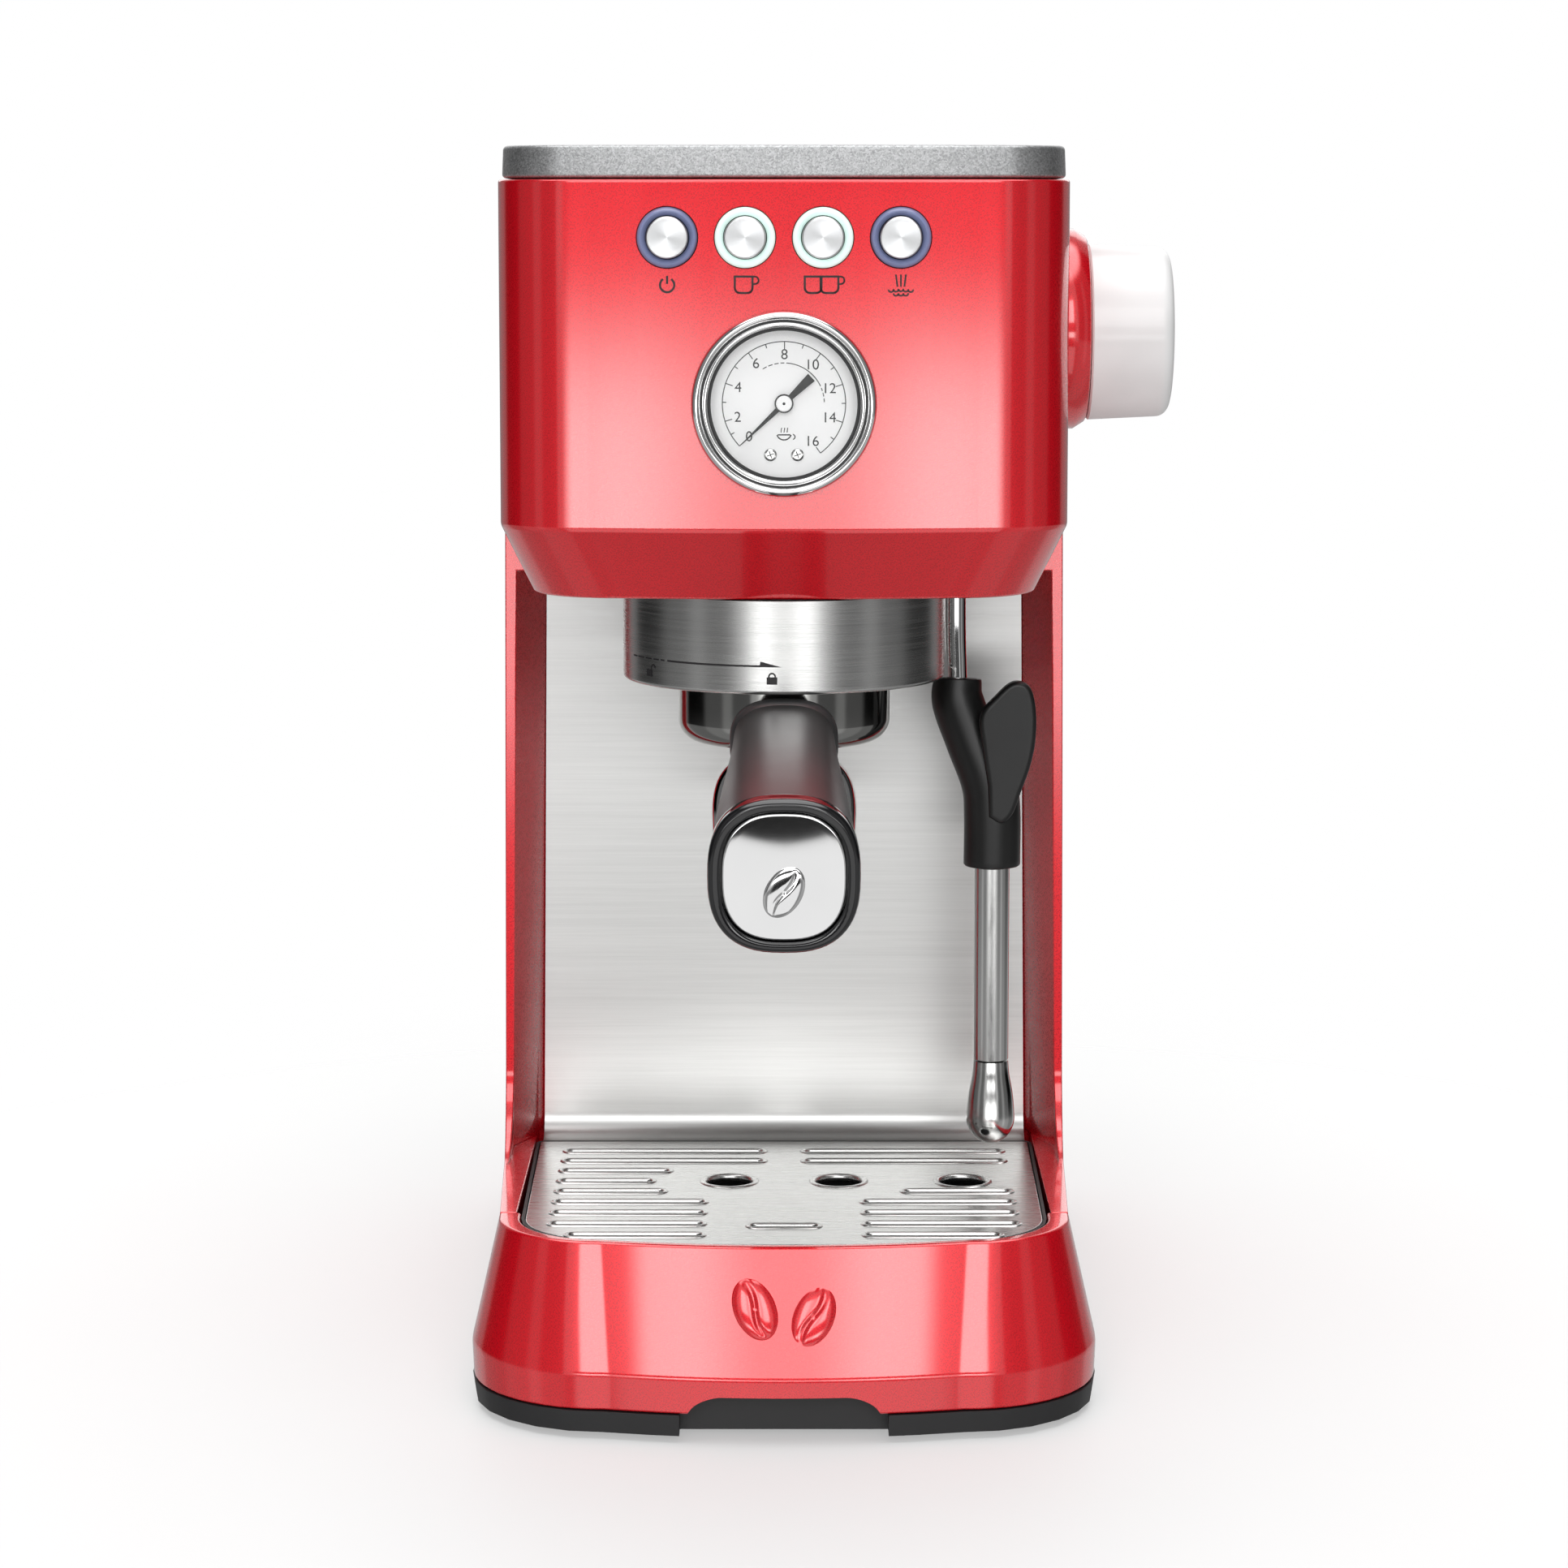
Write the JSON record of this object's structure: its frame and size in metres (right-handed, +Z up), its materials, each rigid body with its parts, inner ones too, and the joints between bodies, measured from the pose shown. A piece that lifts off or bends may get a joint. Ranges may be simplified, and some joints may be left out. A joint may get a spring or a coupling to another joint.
{
  "type": "espresso machine",
  "caption": "Compact espresso machine with a chamfered head, round pressure gauge, lock-in portafilter, steam wand, side steam knob, slotted drip tray and rear water tank.",
  "frame": {"origin": "centre of the bounding box's footprint, on the surface that the feet stand on", "axes": "+Z up, -Y out of the front with the group and the buttons, +X towards the side with the steam knob"},
  "size_m": [0.215, 0.4158, 0.382],
  "materials": {
    "aluminium": "cast",
    "black_plastic": "fine-textured black moulding",
    "brass": "machined",
    "brushed_steel": "brushed stainless steel",
    "chrome": "polished",
    "circuit_green": "circuit board",
    "clear_glass": "clear",
    "grey_plastic": "silver-grey metallic lacquer, fine sparkle",
    "grip_rubber": "satin black",
    "light_ring": "translucent light ring",
    "red_lacquer": "glossy red metallic lacquer",
    "silicone": "translucent silicone",
    "smoked_plastic": "smoked, slightly see-through",
    "white_plastic": "satin white"
  },
  "bodies": {
    "housing": {"back_panel": "brushed_steel", "base_plate": "black_plastic", "body_shell": "red_lacquer", "brew_head": "aluminium", "control_board": "circuit_green", "cord_gland": "black_plastic", "cup_plate": "brushed_steel", "foot_front_left": "grip_rubber", "foot_front_right": "grip_rubber", "foot_rear_left": "grip_rubber", "foot_rear_right": "grip_rubber", "gauge_bezel": "chrome", "gauge_case": "black_plastic", "gauge_dial": "white_plastic", "gauge_lens": "clear_glass", "group_collar": "brushed_steel", "group_gasket": "silicone", "head_floor": "black_plastic", "head_shell": "red_lacquer", "inlet_hose": "silicone", "knob_bezel": "red_lacquer", "pressure_hose": "silicone", "pump": "black_plastic", "ring_double": "light_ring", "ring_program": "light_ring", "ring_single": "light_ring", "ring_steam": "light_ring", "shower_screen": "brushed_steel", "shower_screw": "brushed_steel", "steam_pipe": "brushed_steel", "steam_valve": "brass", "switch_frame": "black_plastic", "tank_seal": "silicone", "thermoblock": "aluminium", "top_frame": "grey_plastic", "wand_socket": "black_plastic"},
    "portafilter": {"portafilter_cup": "chrome", "filter_basket": "brushed_steel", "portafilter_handle": "black_plastic", "handle_end_cap": "chrome", "twin_spout": "chrome"},
    "wand_swivel": {"wand_seat": "silicone"},
    "wand": {"wand_pipe": "chrome", "wand_grip": "grip_rubber", "wand_sleeve": "brushed_steel", "wand_tip": "brushed_steel"},
    "steam_knob": {"steam_knob": "white_plastic", "knob_spindle": "brass"},
    "button_program": {"button_program": "brushed_steel"},
    "button_single": {"button_single": "brushed_steel"},
    "button_double": {"button_double": "brushed_steel"},
    "button_steam": {"button_steam": "brushed_steel"},
    "gauge_needle": {"gauge_needle": "black_plastic"},
    "drip_tray": {"drip_tray": "black_plastic", "tray_front": "red_lacquer"},
    "grille": {"drip_grille": "brushed_steel"},
    "water_tank": {"water_tank": "smoked_plastic", "tank_valve": "black_plastic"},
    "tank_lid": {"tank_lid": "grey_plastic"},
    "power_rocker": {"power_rocker": "black_plastic"}
  },
  "joints": [
    {"name": "portafilter_twist", "type": "hinge", "parent": "housing", "child": "portafilter", "pos_m": [-0.01202, -0.01627, 0.2282], "axis": [0, 0, 1], "range_deg": [-45, 0]},
    {"name": "wand_swivel", "type": "hinge", "parent": "housing", "child": "wand_swivel", "pos_m": [0.04248, 0.00573, 0.253], "axis": [0, 0, 1], "range_deg": [-45, 15]},
    {"name": "wand_tilt", "type": "hinge", "parent": "wand_swivel", "child": "wand", "pos_m": [0.04248, 0.00573, 0.253], "axis": [0, -1, 0], "range_deg": [0, 20]},
    {"name": "knob_turn", "type": "hinge", "parent": "housing", "child": "steam_knob", "pos_m": [0.08178, -0.00627, 0.325], "axis": [1, 0, 0], "range_deg": [0, 180]},
    {"name": "press_program", "type": "slide", "parent": "housing", "child": "button_program", "axis": [0, 1, 0], "range_m": [0, 0.002], "stiffness_N_per_m": 500},
    {"name": "press_single", "type": "slide", "parent": "housing", "child": "button_single", "axis": [0, 1, 0], "range_m": [0, 0.002], "stiffness_N_per_m": 500},
    {"name": "press_double", "type": "slide", "parent": "housing", "child": "button_double", "axis": [0, 1, 0], "range_m": [0, 0.002], "stiffness_N_per_m": 500},
    {"name": "press_steam", "type": "slide", "parent": "housing", "child": "button_steam", "axis": [0, 1, 0], "range_m": [0, 0.002], "stiffness_N_per_m": 500},
    {"name": "needle_turn", "type": "hinge", "parent": "housing", "child": "gauge_needle", "pos_m": [-0.01202, -0.07627, 0.3063], "axis": [0, 1, 0], "range_deg": [0, 277], "stiffness_Nm_per_rad": 0.002},
    {"name": "drip_tray_slide", "type": "slide", "parent": "housing", "child": "drip_tray", "axis": [0, -1, 0], "range_m": [0, 0.15]},
    {"name": "grille_lift", "type": "slide", "parent": "drip_tray", "child": "grille", "axis": [0, 0, 1], "range_m": [0, 0.006]},
    {"name": "tank_lift", "type": "slide", "parent": "housing", "child": "water_tank", "axis": [0, 0, 1], "range_m": [0, 0.25]},
    {"name": "tank_lid_hinge", "type": "hinge", "parent": "water_tank", "child": "tank_lid", "pos_m": [-0.01202, 0.20573, 0.3723], "axis": [-1, 0, 0], "range_deg": [0, 95]},
    {"name": "power_rocker_tilt", "type": "hinge", "parent": "housing", "child": "power_rocker", "pos_m": [0.03598, 0.20023, 0.0333], "axis": [0, 0, -1], "range_deg": [0, 14]}
  ]
}
